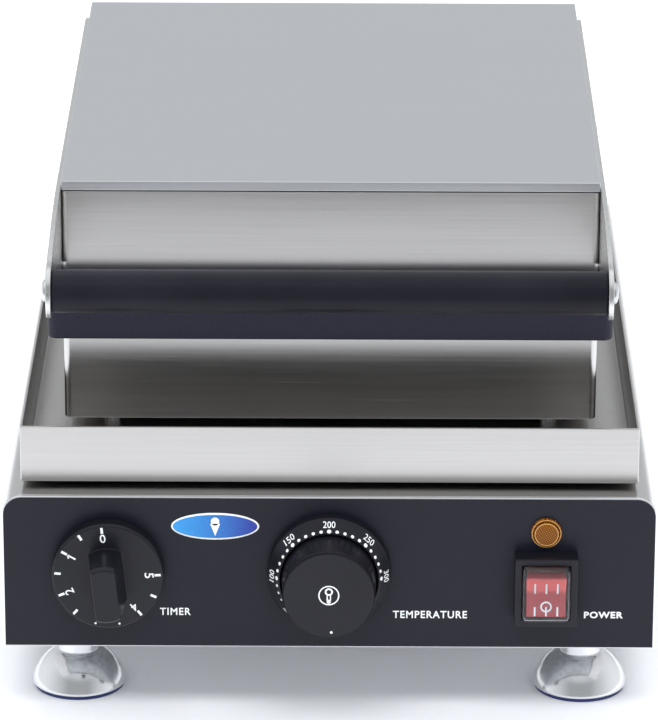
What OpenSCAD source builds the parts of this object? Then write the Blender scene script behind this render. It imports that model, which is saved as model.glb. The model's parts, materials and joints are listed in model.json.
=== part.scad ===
// Counter-top waffle cone maker: two hinged cast baking plates over a sheet-metal base
// with a timer, a thermostat, an illuminated power switch and four levelling feet.
// Millimetres. +Z is up, the control panel faces -Y, and the origin is on the table
// under the middle of the whole object.

/* [Base] */
// Width of the base and of its control panel
base_w = 260; // [250:1:280]
// Depth of the base from the front of the panel to its rear cover
base_d = 371.5; // [366:0.5:400]
// Height of the base's underside above the table
base_z = 30; // [28:0.5:36]
// Height of the base's body without the feet
base_h = 64.8; // [62:0.1:76]
// Radius of the body's long top edges
base_r = 8; // [4:0.5:12]
// Thickness of the body's steel sheet
sheet_t = 1.2; // [0.8:0.1:1.5]

/* [Drip tray] */
// Outer width of the tray
tray_w = 246; // [236:0.5:250]
// Gap from the panel's front to the tray's front wall
tray_front = 11.5; // [10:0.5:20]
// Depth of the tray
tray_d = 340.5; // [336:0.5:341]
// Height of the tray's walls
tray_h = 23.6; // [15:0.1:30]
// Height of the pressed pads that the tray stands on
tray_lift = 1.5; // [0.5:0.1:3]

/* [Baking head] */
// Width of the lower housing and of the lid over its lips
head_w = 215.4; // [213:0.2:217]
// Gap from the panel's front to the front of the lid
head_front = 56.7; // [54:0.1:58]
// Depth of the lid over its lips
head_d = 251.5; // [250:0.5:253]
// Height of the lower housing's floor above the table
housing_z = 106.1; // [103:0.1:112]
// Height of the gap between the two baking plates
seam_z = 156.65; // [155:0.05:158]
// Thickness of each cast plate
plate_t = 13.1; // [10:0.1:14]
// Width of each cast plate
plate_w = 227.2; // [220:0.2:230]
// Top of the lid above the table
lid_top_z = 207.4; // [206:0.1:220]
// Depth of the folded lip round the lid's cover
lip_h = 4; // [3:0.5:8]
// Depth of the baking recess in each plate
recess_depth = 1; // [0.5:0.1:2]

/* [Handle and arms] */
// Diameter of the grip
grip_dia = 17; // [15:0.5:20]
// Distance from the panel's front forward to the grip's axis
grip_reach = 12; // [6:1:16]
// Height of the grip's axis
grip_z = 185.6; // [184:0.1:188]
// Thickness of each arm
arm_t = 2; // [1.5:0.5:3]
// Largest opening angle of the lid, in degrees
lid_open = 100; // [95:1:105]

/* [Controls] */
// Height of the timer's and the thermostat's axes
knob_z = 63.5; // [60:0.5:68]
// Position of the timer across the panel
timer_x = -87.9; // [-92:0.1:-82]
// Diameter of the timer knob's disc
timer_dia = 44.8; // [40:0.1:48]
// Outer diameter of the thermostat's dial ring
dial_dia = 49.2; // [46:0.1:54]
// Position of the switch and the lamp across the panel
switch_x = 86.2; // [82:0.1:90]
// Height of the switch's centre
switch_z = 57.9; // [55:0.1:60]
// Height of the pilot lamp's centre
lamp_z = 80.3; // [79:0.1:84]

/* [Feet] */
// Distance from the middle to each foot, across
foot_x = 102; // [95:1:108]
// Diameter of each foot's base
foot_dia = 38.5; // [30:0.5:40]
// Radius of the foot's threaded stud
stud_r = 4; // [3:0.5:5]

/* [Hidden] */
$fn = 64;
gap = 0.3;                       // air between pieces that move against each other
fit = 0.05;                      // radial clearance of a shaft in its hole

// Enclosure
panel_t = 1.5;
shell_front = panel_t;
shell_rear = base_d - panel_t;
base_top = base_z + base_h;
tray_z = base_top + tray_lift;
inner_w = base_w - 2 * sheet_t;
flange_w = 14;
knob_out = 27.5;                 // how far the knobs stand out of the panel
gland_out = 12;                  // how far the cable gland stands out of the rear
panel_y = (knob_out - base_d - gland_out) / 2;
base_screw_x = base_w / 2 - 9;
base_screw_d = [70, base_d / 2, base_d - 80];

// Feet
foot_d = [32, base_d - 40];
foot_neck_r = 7.8;
foot_top = base_z + sheet_t - gap;
pad_t = 1.6;

// Head
lip_t = 1.2;
neck_w = head_w - 2 * lip_t;
neck_d = head_d - 2 * lip_t;
head_rear = head_front + head_d;
plate_front = head_front - 8.7;
plate_rear = head_rear + 0.3;
lower_top = seam_z - gap / 2;
lower_under = lower_top - plate_t;
upper_under = seam_z + gap / 2;
upper_top = upper_under + plate_t;
cover_z = lid_top_z - sheet_t;
lip_z = lid_top_z - lip_h;
leg_x = 89;
leg_d = [80, head_rear - 26];
leg_r = 3.75;
duct_d = 250;
duct_r = 8;
bolt_x = 97;
bolt_d = [head_front + 20, head_rear - 20];
element_r = 3.25;
element_x = 50;
clamp_t = 1.5;

// Hinge, measured from the panel's front
hinge_d = head_rear + 26;
hinge_z = seam_z;
shaft_r = 5;
eye_r = 13;
arm_x = head_w / 2;
bush_r = 7;
bracket_x = 98;
bracket_t = 3;
tail_w = 8;                      // half the width of the arm's tail
stop_r = 4;
// The stop rod lies where the tail's leading side arrives when the lid is fully open
stop_reach = 25;
stop_off = tail_w + stop_r + gap;
stop_d = hinge_d + stop_reach * cos(lid_open) - stop_off * sin(lid_open);
stop_z = hinge_z - stop_reach * sin(lid_open) - stop_off * cos(lid_open);
bracket_screw_x = bracket_x - 12;
bracket_screw_z = [housing_z + 7, housing_z + 19];
arm_screw_z = 188;
arm_screw_d = [head_front + 30, head_front + head_d / 2, head_rear - 30];
arm_low_z = upper_top + 2.5;
arm_high_z = lid_top_z - 2.2;
arm_end_r = 10.5;

// Conduit between the base and the lid
conduit_x = 11;
conduit_r = 6;
conduit_z = 188;
conduit_d = base_d - 10.5;
gland_len = 9;

// Controls
switch_w = 21.6;
switch_h = 25.6;
bezel_w = 25;
bezel_h = 28.8;
bezel_out = 9.4;
cap_w = 18.9;
cap_h = 22.8;
cap_out = 12.7;
rocker_tilt = 7;
timer_tilt = -6;                 // the timer's zero stands a little left of the top
panel_screw_x = 118;

inlet_x = -90;
inlet_z = base_z + 25;
inlet_r = 4.2;

// ---------- helpers ----------

// Moves a piece from the panel's front to its place, d behind that face
module behind(d = 0) { translate([0, panel_y + d, 0]) children(); }

// An outline in X and Z, t thick towards the rear
module upright(t) { translate([0, t, 0]) rotate([90, 0, 0]) linear_extrude(t) children(); }

// An outline in Y and Z, t thick towards +X, starting at x
module side_plate(x, t) { translate([x, 0, 0]) rotate([90, 0, 90]) linear_extrude(t) children(); }

module round_rect(w, d, r) {
    square([w - 2 * r, d], center = true);
    square([w, d - 2 * r], center = true);
    for (x = [-1, 1], y = [-1, 1])
        translate([x * (w / 2 - r), y * (d / 2 - r)]) circle(r);
}

// Upright outline with a flat foot and two rounded top corners, standing on z = 0
module arch(w, h, r) {
    translate([-w / 2, 0]) square([w, h - r]);
    translate([-w / 2 + r, 0]) square([w - 2 * r, h]);
    for (x = [-1, 1]) translate([x * (w / 2 - r), h - r]) circle(r);
}

module base_outline() { translate([0, base_z]) arch(base_w, base_h, base_r); }

// A block given by its X half width, its span behind the panel and its span in height
module block(x, d0, d1, z0, z1) {
    translate([-x, d0, z0]) cube([2 * x, d1 - d0, z1 - z0]);
}

// A round bar along +Y, from d0 to d1 behind the panel
module bar_y(x, z, r, d0, d1) {
    translate([x, d0, z]) rotate([-90, 0, 0]) cylinder(r = r, h = d1 - d0);
}

module bar_x(x0, x1, d, z, r) {
    translate([x0, d, z]) rotate([0, 90, 0]) cylinder(r = r, h = x1 - x0);
}

// Round tube of radius r along a list of points. ref is never parallel to the path.
function unit(v) = v / norm(v);
function heading(p, i) = unit(p[min(i + 1, len(p) - 1)] - p[max(i - 1, 0)]);
function ring(p, i, r, n, ref) =
    let (t = heading(p, i), u = unit(cross(t, ref)), v = cross(t, u))
    [for (k = [0 : n - 1]) p[i] + r * (u * cos(360 * k / n) + v * sin(360 * k / n))];
module tube(p, r, ref, n = 10) {
    m = len(p);
    side = [for (i = [0 : m - 2], k = [0 : n - 1])
        [(i + 1) * n + k, (i + 1) * n + (k + 1) % n, i * n + (k + 1) % n, i * n + k]];
    ends = [[for (k = [0 : n - 1]) k], [for (k = [n - 1 : -1 : 0]) (m - 1) * n + k]];
    polyhedron([for (i = [0 : m - 1]) each ring(p, i, r, n, ref)], concat(side, ends), 10);
}

// Points of a cubic curve from a to b with handles ha and hb
function curve(a, ha, hb, b, n = 12) = [for (i = [0 : n]) let (t = i / n, s = 1 - t)
    a * s * s * s + ha * 3 * s * s * t + hb * 3 * s * t * t + b * t * t * t];

// ---------- enclosure ----------

module body_shell() {
    color("silver") behind() difference() {
        translate([0, shell_front, 0]) upright(shell_rear - shell_front) difference() {
            base_outline();
            translate([0, base_z + sheet_t])
                arch(inner_w, base_h - 2 * sheet_t, base_r - sheet_t);
            translate([0, base_z]) square([inner_w - 2 * flange_w, 4 * sheet_t], center = true);
        }
        for (x = [-leg_x, leg_x], d = leg_d)
            translate([x, d, base_top - 5]) cylinder(r = 2.6, h = 10);
        translate([0, duct_d, base_top - 5]) cylinder(r = duct_r + fit, h = 10);
        translate([conduit_x, conduit_d, base_top - 5]) cylinder(r = conduit_r, h = 10);
        for (x = [-base_screw_x, base_screw_x], d = base_screw_d)
            translate([x, d, base_z - 1]) cylinder(r = 2, h = 4);
    }
}

module control_cutouts() {
    translate([timer_x, knob_z]) circle(4);
    translate([0, knob_z]) circle(4);
    translate([switch_x, switch_z]) square([switch_w + 0.2, switch_h + 0.2], center = true);
    translate([switch_x, lamp_z]) circle(4.7 + fit);
}

module front_panel() {
    color([0.17, 0.17, 0.21]) behind() upright(panel_t) difference() {
        base_outline();
        control_cutouts();
    }
}

module back_panel() {
    color("lightgray") behind(shell_rear) upright(panel_t) difference() {
        base_outline();
        translate([inlet_x, inlet_z]) circle(8);
        for (i = [0 : 7]) translate([20 + 9 * i, base_z + 32]) round_rect(4, 26, 1.99);
        for (x = [-panel_screw_x, panel_screw_x], z = [12, base_h - 12])
            translate([x, base_z + z]) circle(2);
    }
}

// Round-headed screw whose head stands behind face d, with its shank going forward
module screw_y(x, z, r, head_r, head_h, d, shank) {
    bar_y(x, z, r, d - shank, d);
    bar_y(x, z, head_r, d, d + head_h);
}

module bottom_plate() {
    color("darkgray") behind() difference() {
        block(inner_w / 2 - 0.2, shell_front, shell_rear, base_z + sheet_t, base_z + 2 * sheet_t);
        for (x = [-foot_x, foot_x], d = foot_d)
            translate([x, d, base_z]) cylinder(r = stud_r + 0.6, h = 5);
        for (x = [-base_screw_x, base_screw_x], d = base_screw_d)
            translate([x, d, base_z]) cylinder(r = 2, h = 5);
        for (i = [0 : 8]) translate([10 * (i - 4), 120, base_z])
            linear_extrude(5) round_rect(5, 60, 2.49);
    }
}

// Screws of the rear cover, and those that hold the bottom plate from below
module case_screws() {
    color("gray") behind() {
        for (x = [-panel_screw_x, panel_screw_x], z = [12, base_h - 12])
            screw_y(x, base_z + z, 1.9, 3.4, 1.8, base_d, 6);
        for (x = [-base_screw_x, base_screw_x], d = base_screw_d) translate([x, d, base_z]) {
            translate([0, 0, -1.8]) cylinder(r = 3.4, h = 1.8);
            cylinder(r = 1.9, h = 6);
        }
    }
}

module cable_gland() {
    color([0.12, 0.12, 0.13]) behind() difference() {
        union() {
            bar_y(inlet_x, inlet_z, 7.95, shell_rear - 6, base_d + gland_out);
            translate([inlet_x, base_d, inlet_z]) rotate([-90, 30, 0])
                cylinder(r = 11, h = 5, $fn = 6);
            translate([inlet_x, shell_rear, inlet_z]) rotate([90, 30, 0])
                cylinder(r = 11, h = 4.5, $fn = 6);
        }
        bar_y(inlet_x, inlet_z, inlet_r, shell_rear - 10, base_d + gland_out + 1);
    }
}

// ---------- drip tray ----------

module drip_tray() {
    color("silver") behind() difference() {
        union() {
            block(tray_w / 2, tray_front, tray_front + tray_d, tray_z, tray_z + tray_h);
            for (x = [-leg_x, leg_x], d = leg_d)
                translate([x, d, base_top]) cylinder(r = 9, h = tray_lift + 1);
        }
        block(tray_w / 2 - sheet_t, tray_front + sheet_t, tray_front + tray_d - sheet_t,
            tray_z + 1, tray_z + tray_h + 1);
        for (x = [-leg_x, leg_x], d = leg_d)
            translate([x, d, base_top - 5]) cylinder(r = 2.6, h = 10);
        translate([0, duct_d, base_top - 5]) cylinder(r = duct_r + fit, h = 10);
    }
}

module lower_housing() {
    r = 3;
    color("silver") behind() difference() {
        translate([0, head_front + head_d / 2, housing_z])
            linear_extrude(lower_under - housing_z) round_rect(head_w, head_d, r);
        translate([0, head_front + head_d / 2, housing_z + sheet_t])
            linear_extrude(lower_under - housing_z - 2 * sheet_t)
            round_rect(head_w - 2 * sheet_t, head_d - 2 * sheet_t, r - sheet_t);
        block(head_w / 2 - flange_w, head_front + flange_w, head_rear - flange_w,
            lower_under - 2 * sheet_t, lower_under + 1);
        for (x = [-leg_x, leg_x], d = leg_d)
            translate([x, d, housing_z - 1]) cylinder(r = 2.6, h = 4);
        for (x = [-bolt_x, bolt_x], d = bolt_d)
            translate([x, d, lower_under - 3]) cylinder(r = 2.1, h = 4);
        translate([0, duct_d, housing_z - 1]) cylinder(r = duct_r + fit, h = 4);
        for (x = [-1, 1], z = bracket_screw_z)
            bar_y(x * bracket_screw_x, z, 2.1, head_rear - 3, head_rear + 1);
    }
}

module housing_legs() {
    color("gray") behind() for (x = [-leg_x, leg_x], d = leg_d)
        translate([x, d, tray_z + 1]) difference() {
            cylinder(r = leg_r, h = housing_z - tray_z - 1);
            translate([0, 0, -1]) cylinder(r = 2.6, h = 20);
        }
}

// Bolts that clamp the housing, its legs and the tray to the top of the base
module leg_bolts() {
    color("gray") behind() for (x = [-leg_x, leg_x], d = leg_d) translate([x, d, 0]) {
        translate([0, 0, base_top - sheet_t - 6])
            cylinder(r = 2.5, h = housing_z + 2 * sheet_t - base_top + 6);
        translate([0, 0, housing_z + sheet_t]) cylinder(r = 4.6, h = 3);
        translate([0, 0, base_top - sheet_t - 4]) cylinder(r = 4.6, h = 4, $fn = 6);
    }
}

// Sleeve that takes the wires from the base up into the housing
module wire_duct() {
    color("lightgray") behind() translate([0, duct_d, base_top - sheet_t - 3]) difference() {
        cylinder(r = duct_r, h = housing_z - base_top + 2 * sheet_t + 5);
        translate([0, 0, -1]) cylinder(r = duct_r - 1.5, h = 40);
    }
}

// ---------- baking plates and heaters ----------

// Cast plate from z0 up, its baking recess open on the side that is given as 1 or -1
module baking_plate(z0, side) {
    plate_d = plate_rear - plate_front;
    recess_r = 104;
    translate([0, (plate_front + plate_rear) / 2, z0]) difference() {
        linear_extrude(plate_t) round_rect(plate_w, plate_d, 4);
        translate([0, 0, side > 0 ? plate_t - recess_depth : -1])
            cylinder(r = recess_r, h = recess_depth + 1, $fn = 128);
    }
}

module lower_plate() {
    color([0.16, 0.16, 0.2]) behind() difference() {
        baking_plate(lower_under, 1);
        for (x = [-bolt_x, bolt_x], d = bolt_d)
            translate([x, d, lower_under - 1]) cylinder(r = 2.05, h = 9);
    }
}

module upper_plate() {
    color([0.16, 0.16, 0.2]) behind() difference() {
        baking_plate(upper_under, -1);
        for (x = [-bolt_x, bolt_x], d = bolt_d)
            translate([x, d, upper_top - 8]) cylinder(r = 2.05, h = 9);
    }
}

// Tubular heater bent three times, its middle at height z
module element(z) {
    front = head_front + 70;
    rear = head_rear - 75;
    tail = head_rear - 30;
    bend = element_x / 2;
    for (x = [-1, 1]) {
        bar_y(x * 3 * bend, z, element_r, front, tail);
        bar_y(x * bend, z, element_r, front, rear);
        translate([x * element_x, front, z]) elbow(bend, 180);
        bar_y(x * 3 * bend, z, 1.6, tail, tail + 12);
    }
    translate([0, rear, z]) elbow(bend, 0);
}

module elbow(bend, turn) {
    rotate([0, 0, turn]) rotate_extrude(angle = 180) translate([bend, 0]) circle(element_r);
}

module lower_element() { color("dimgray") behind() element(lower_under - element_r); }
module upper_element() { color("dimgray") behind() element(upper_top + element_r); }

// Sheet that holds an element against its plate, from z0 up
module clamp(z0) {
    difference() {
        block(90, head_front + 18, head_rear - 18, z0, z0 + clamp_t);
        translate([0, duct_d, z0 - 1]) cylinder(r = 14, h = 4);
    }
}

module lower_clamp() { color("silver") behind() clamp(lower_under - 2 * element_r - clamp_t); }
module upper_clamp() { color("silver") behind() clamp(upper_top + 2 * element_r); }

module wool(z0, z1) {
    difference() {
        block(92, head_front + 16, head_rear - 16, z0, z1);
        translate([0, duct_d, z0 - 1]) cylinder(r = 14, h = z1 - z0 + 2);
        for (x = [-leg_x, leg_x], d = leg_d) translate([x, d, z0 - 1]) cylinder(r = 8, h = 6);
    }
}

module lower_insulation() {
    color("wheat") behind()
        wool(housing_z + sheet_t, lower_under - 2 * element_r - clamp_t);
}

module upper_insulation() {
    color("wheat") behind() wool(upper_top + 2 * element_r + clamp_t, cover_z);
}

// ---------- lid ----------

// Four walls with a flange turned in along the bottom, clamped on the upper plate.
// They step in at the top, so that the cover's lip lies flush with them.
module lid_box() {
    r = 3;
    step_z = lip_z - gap;
    middle_d = head_front + head_d / 2;
    color("silver") behind() difference() {
        union() {
            translate([0, middle_d, upper_top])
                linear_extrude(step_z - upper_top) round_rect(head_w, head_d, r);
            translate([0, middle_d, upper_top])
                linear_extrude(cover_z - upper_top) round_rect(neck_w, neck_d, r - lip_t);
        }
        translate([0, middle_d, upper_top + sheet_t]) linear_extrude(step_z - upper_top - 2 * sheet_t)
            round_rect(head_w - 2 * sheet_t, head_d - 2 * sheet_t, r - sheet_t);
        translate([0, middle_d, upper_top + sheet_t]) linear_extrude(cover_z)
            round_rect(neck_w - 2 * sheet_t, neck_d - 2 * sheet_t, r - lip_t - sheet_t);
        block(head_w / 2 - flange_w, head_front + flange_w, head_rear - flange_w,
            upper_top - 1, cover_z);
        for (x = [-bolt_x, bolt_x], d = bolt_d)
            translate([x, d, upper_top - 1]) cylinder(r = 2.1, h = 4);
        for (d = arm_screw_d) bar_x(-arm_x - 1, arm_x + 1, d, arm_screw_z, 2.1);
        bar_y(conduit_x, conduit_z, 6, head_rear - 4, head_rear + 1);
    }
}

module lid_cover() {
    color("gainsboro") behind() difference() {
        block(head_w / 2, head_front, head_rear, lip_z, lid_top_z);
        block(neck_w / 2, head_front + lip_t, head_rear - lip_t, lip_z - 1, cover_z);
    }
}

// Side view of an arm: grip end, bar along the lid, hinge eye and the tail that stops it
module arm_outline() {
    inset = 0.5;                 // keeps the outline's corners inside the round ends
    lower_edge = curve([-grip_reach, grip_z - arm_end_r + inset], [head_front - 50, grip_z - arm_end_r],
        [head_front - 25, arm_low_z], [head_front + 12, arm_low_z]);
    upper_edge = curve([head_front + 12, arm_high_z], [head_front - 25, arm_high_z],
        [head_front - 50, grip_z + arm_end_r + 4], [-grip_reach, grip_z + arm_end_r - inset]);
    heel = curve([hinge_d, hinge_z + eye_r - inset], [hinge_d - 8, hinge_z + eye_r + 8],
        [head_rear - 4, arm_high_z], [head_rear - 20, arm_high_z]);
    difference() {
        union() {
            polygon(concat(lower_edge, [[hinge_d - eye_r - 3, arm_low_z],
                [hinge_d - eye_r + inset, hinge_z]], heel, upper_edge));
            translate([-grip_reach, grip_z]) circle(arm_end_r);
            translate([hinge_d, hinge_z]) circle(eye_r);
            translate([hinge_d, hinge_z - tail_w]) square([stop_reach + 5, 2 * tail_w]);
        }
        translate([hinge_d, hinge_z]) circle(bush_r);
        translate([-grip_reach, grip_z]) circle(2.1);
        for (d = arm_screw_d) translate([d, arm_screw_z]) circle(2.1);
    }
}

module left_arm() { color("silver") behind() side_plate(-arm_x - arm_t, arm_t) arm_outline(); }
module right_arm() { color("silver") behind() side_plate(arm_x, arm_t) arm_outline(); }

// Screws down into the upper plate, and those of the two arms with their nuts
module lid_screws() {
    color("gray") behind() {
        for (x = [-bolt_x, bolt_x], d = bolt_d) translate([x, d, upper_top]) {
            translate([0, 0, sheet_t]) cylinder(r = 3.8, h = 3);
            translate([0, 0, -6]) cylinder(r = 2, h = sheet_t + 6);
        }
        for (side = [-1, 1], d = arm_screw_d) rotate([0, 0, side < 0 ? 180 : 0])
            translate([0, side * d, arm_screw_z]) rotate([0, 90, 0]) {
                translate([0, 0, head_w / 2 - sheet_t - 3]) cylinder(r = 3.8, h = 3);
                translate([0, 0, head_w / 2 - sheet_t - 3]) cylinder(r = 2, h = 9);
                translate([0, 0, arm_x + arm_t]) cylinder(r = 3.8, h = 1.8);
            }
    }
}

// ---------- handle ----------

module handle_grip() {
    color([0.14, 0.14, 0.17]) behind() difference() {
        bar_x(-arm_x, arm_x, -grip_reach, grip_z, grip_dia / 2);
        bar_x(-arm_x - 1, arm_x + 1, -grip_reach, grip_z, 5.05);
    }
}

// Steel tube inside the grip, tapped at both ends for the handle's screws
module handle_rod() {
    color("gray") behind() difference() {
        bar_x(-arm_x, arm_x, -grip_reach, grip_z, 5);
        bar_x(-arm_x - 1, arm_x + 1, -grip_reach, grip_z, 2.05);
    }
}

module handle_screws() {
    head_r = 4.3;
    head_h = 2.3;
    crown_r = (head_r * head_r + head_h * head_h) / (2 * head_h);
    color("silver") behind() for (side = [0, 180]) translate([0, -grip_reach, grip_z])
        rotate([0, 90, side]) {
            translate([0, 0, arm_x - 12]) cylinder(r = 2, h = 12 + arm_t);
            translate([0, 0, arm_x + arm_t]) intersection() {
                translate([0, 0, head_h - crown_r]) sphere(crown_r);
                cylinder(r = head_r, h = head_h);
            }
        }
}

// ---------- hinge ----------

// Ear that rises behind the housing, with a flange turned in against the housing's rear wall
module hinge_bracket(side) {
    foot_z = housing_z + 2;
    flange_top = lower_under - 2.4;
    x = side > 0 ? bracket_x : -bracket_x - bracket_t;
    difference() {
        union() {
            side_plate(x, bracket_t) {
                polygon([[head_rear, foot_z], [hinge_d + 12, foot_z], [hinge_d + eye_r, hinge_z],
                    [hinge_d - eye_r, hinge_z], [plate_rear + 6, lower_under - 2],
                    [plate_rear + 6, flange_top], [head_rear, flange_top]]);
                translate([hinge_d, hinge_z]) circle(eye_r);
            }
            translate([side > 0 ? x - 24 : x + bracket_t, head_rear, foot_z])
                cube([24, 2.5, flange_top - foot_z]);
        }
        bar_x(-arm_x, arm_x, hinge_d, hinge_z, shaft_r);
        bar_x(-arm_x, arm_x, stop_d, stop_z, stop_r);
        for (z = bracket_screw_z)
            bar_y(side * bracket_screw_x, z, 2.1, head_rear - 3, head_rear + 5);
    }
}

module hinge_brackets() {
    color("silver") behind() for (side = [-1, 1]) hinge_bracket(side);
}

// Screws up into the lower plate, and those of the two hinge brackets with their nuts
module housing_screws() {
    color("gray") behind() {
        for (x = [-bolt_x, bolt_x], d = bolt_d) translate([x, d, lower_under]) {
            translate([0, 0, -sheet_t - 3]) cylinder(r = 3.8, h = 3);
            translate([0, 0, -sheet_t]) cylinder(r = 2, h = sheet_t + 6);
        }
        for (side = [-1, 1], z = bracket_screw_z) {
            screw_y(side * bracket_screw_x, z, 2, 3.8, 2, head_rear + 2.5, 8);
            bar_y(side * bracket_screw_x, z, 3.8, head_rear - sheet_t - 3, head_rear - sheet_t);
        }
    }
}

module hinge_shaft() {
    color("gray") behind() bar_x(-arm_x - arm_t - 3.5, arm_x + arm_t + 3.5, hinge_d, hinge_z, shaft_r);
}

// Flanged bush in each arm, turning on the shaft
module hinge_bushes() {
    color("goldenrod") behind() for (side = [0, 180]) translate([0, hinge_d, hinge_z])
        rotate([0, 90, side]) difference() {
            union() {
                translate([0, 0, bracket_x + bracket_t + gap])
                    cylinder(r = 9, h = arm_x - bracket_x - bracket_t - gap);
                translate([0, 0, arm_x - 1]) cylinder(r = bush_r, h = arm_t + 1.5);
            }
            translate([0, 0, bracket_x]) cylinder(r = shaft_r + fit, h = 40);
        }
}

module shaft_clips() {
    color("gray") behind() for (side = [0, 180]) translate([0, hinge_d, hinge_z])
        rotate([0, 90, side]) translate([0, 0, arm_x + arm_t + 0.8]) difference() {
            cylinder(r = 8, h = 1.2);
            translate([0, 0, -1]) cylinder(r = shaft_r, h = 4);
        }
}

module lid_stop_rod() {
    color("gray") behind() bar_x(-arm_x - arm_t - 1, arm_x + arm_t + 1, stop_d, stop_z, stop_r);
}

// ---------- conduit to the lid's heater ----------

module gland(bore) {
    difference() {
        union() {
            cylinder(r = 8, h = 4, $fn = 6);
            translate([0, 0, 4]) cylinder(r = 7.2, h = gland_len - 4);
            translate([0, 0, -5]) cylinder(r = 5.95, h = 5);
        }
        translate([0, 0, -6]) cylinder(r = bore, h = gland_len + 7);
    }
}

module lid_gland() {
    color("gray") behind() translate([conduit_x, head_rear, conduit_z])
        rotate([-90, 0, 0]) gland(3.5);
}

module base_gland() {
    color("gray") behind() translate([conduit_x, conduit_d, base_top]) gland(3.5);
}

module conduit() {
    a = [conduit_x, head_rear + gland_len + 0.02, conduit_z];
    b = [conduit_x, conduit_d, base_top + gland_len + 0.02];
    color("darkgray") behind()
        tube(concat([a], curve(a + [0, 3, 0], a + [0, 34, 0], b + [0, 0, 55], b + [0, 0, 3], 24), [b]),
            conduit_r, [1, 0, 0], 12);
}

// ---------- timer ----------

// A solid of revolution about an axis through (x, z), standing out of the panel's face
module out_of_panel(x, z) { behind() translate([x, 0, z]) rotate([90, 0, 0]) children(); }

// Numbered disc with a raised bar to turn it by
module timer_knob() {
    disc_r = timer_dia / 2;
    disc_out = 7.8;
    bar_half = 12;
    color([0.15, 0.15, 0.17]) out_of_panel(timer_x, knob_z) difference() {
        union() {
            rotate_extrude() polygon([[0, gap], [disc_r - 0.6, gap], [disc_r, 1], [disc_r, 7],
                [disc_r - 0.8, disc_out], [0, disc_out]]);
            intersection() {
                rotate([0, 0, -timer_tilt]) rotate([90, 0, 0])
                    linear_extrude(2 * bar_half, center = true)
                    polygon([[-6.6, disc_out - 1], [6.6, disc_out - 1], [4.8, knob_out],
                        [-4.8, knob_out]]);
                rotate_extrude() polygon([[0, 0], [bar_half, 0], [bar_half, knob_out - 1.2],
                    [bar_half - 1.2, knob_out], [0, knob_out]]);
            }
        }
        translate([0, 0, -1]) cylinder(r = 3, h = 19);
    }
}

module timer_shaft() {
    color("goldenrod") behind() bar_y(timer_x, knob_z, 3, -17, panel_t + 10);
}

module timer_movement() {
    color("dimgray") behind() difference() {
        translate([timer_x - 20, panel_t, knob_z - 20]) cube([40, 27, 40]);
        bar_y(timer_x, knob_z, 3 + fit, 0, panel_t + 12);
    }
}

// ---------- thermostat ----------

// Fixed ring with the temperature scale on its sloping face
module dial_ring() {
    ring_r = dial_dia / 2;
    color([0.17, 0.17, 0.19]) out_of_panel(0, knob_z) rotate_extrude($fn = 96)
        polygon([[19.4, 0], [ring_r, 0], [ring_r, 5.2], [ring_r - 0.6, 5.9], [20.4, 10.4],
            [19.8, 10.6], [19.4, 10.3]]);
}

module thermostat_knob() {
    color([0.15, 0.15, 0.17]) out_of_panel(0, knob_z) difference() {
        rotate_extrude($fn = 96) polygon([[0, gap], [19, gap], [18.3, 24.7], [17.6, 25.4],
            [0, 25.5]]);
        translate([0, 0, -1]) cylinder(r = 3, h = 17);
    }
}

module thermostat_shaft() {
    color("silver") behind() bar_y(0, knob_z, 3, -15, panel_t + 10);
}

module thermostat_body() {
    color("silver") behind() difference() {
        union() {
            translate([-17, panel_t, knob_z - 17]) cube([34, 22, 34]);
            bar_y(0, knob_z, 14, panel_t + 22, panel_t + 30);
        }
        bar_y(0, knob_z, 3 + fit, 0, panel_t + 12);
    }
}

// Sensing bulb under the lower plate, with the capillary that joins it to the thermostat
module thermostat_bulb() {
    bulb_r = 2.9;
    bulb_z = lower_under - bulb_r;
    a = [3, panel_t + 30, knob_z + 4];
    b = [3, duct_d + 2, base_top + 5];
    c = [3, duct_d - 60, bulb_z];
    color("tan") behind() {
        bar_y(3, bulb_z, bulb_r, c[1] - 80, c[1] - 0.1);
        tube(concat([a], curve(a + [0, 2, 0], a + [0, 60, 0], b - [0, 4, 40], b, 16),
            [for (i = [1 : 10]) curve(b, b + [0, 0, 38], c + [0, 64, 0], c, 10)[i]]),
            1, [1, 0, 0], 8);
    }
}

// ---------- switch and lamp ----------

module upright_block(w, h, d0, d1) {
    behind() translate([switch_x - w / 2, d0, switch_z - h / 2]) cube([w, d1 - d0, h]);
}

module switch_bezel() {
    color([0.1, 0.1, 0.12]) difference() {
        upright_block(bezel_w, bezel_h, -bezel_out, 0);
        upright_block(cap_w + 0.2, cap_h + 0.2, -bezel_out - 1, 1);
    }
}

// Splash cover over the rocker, open towards the switch
module switch_cap() {
    wall = 0.7;
    color([0.8, 0.85, 0.9, 0.4]) difference() {
        upright_block(cap_w, cap_h, -cap_out, 0);
        upright_block(cap_w - 2 * wall, cap_h - 2 * wall, -cap_out + wall, 1);
    }
}

module switch_body() {
    color([0.1, 0.1, 0.12]) difference() {
        union() {
            upright_block(switch_w, switch_h, 0, 24);
            for (i = [-1, 1], j = [-1, 1]) translate([5 * i, 0, 7 * j])
                upright_block(0.8, 6, 24, 32);
        }
        upright_block(16.8, 22, -1, 9);
        behind() bar_x(switch_x - 10, switch_x + 10, 2, switch_z, 1.5 + fit);
    }
}

module switch_rocker() {
    color([0.85, 0.15, 0.15]) behind() translate([0, 2, switch_z]) rotate([rocker_tilt, 0, 0]) {
        side_plate(switch_x - 8, 16)
            polygon([[-12.6, 8.9], [-11.5, 3.5], [-11.3, 0], [-11.5, -3.5], [-12.6, -8.9],
                [4, -7.5], [4, 7.5]]);
        bar_x(switch_x - 9.8, switch_x + 9.8, 0, 0, 1.5);
    }
}

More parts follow.
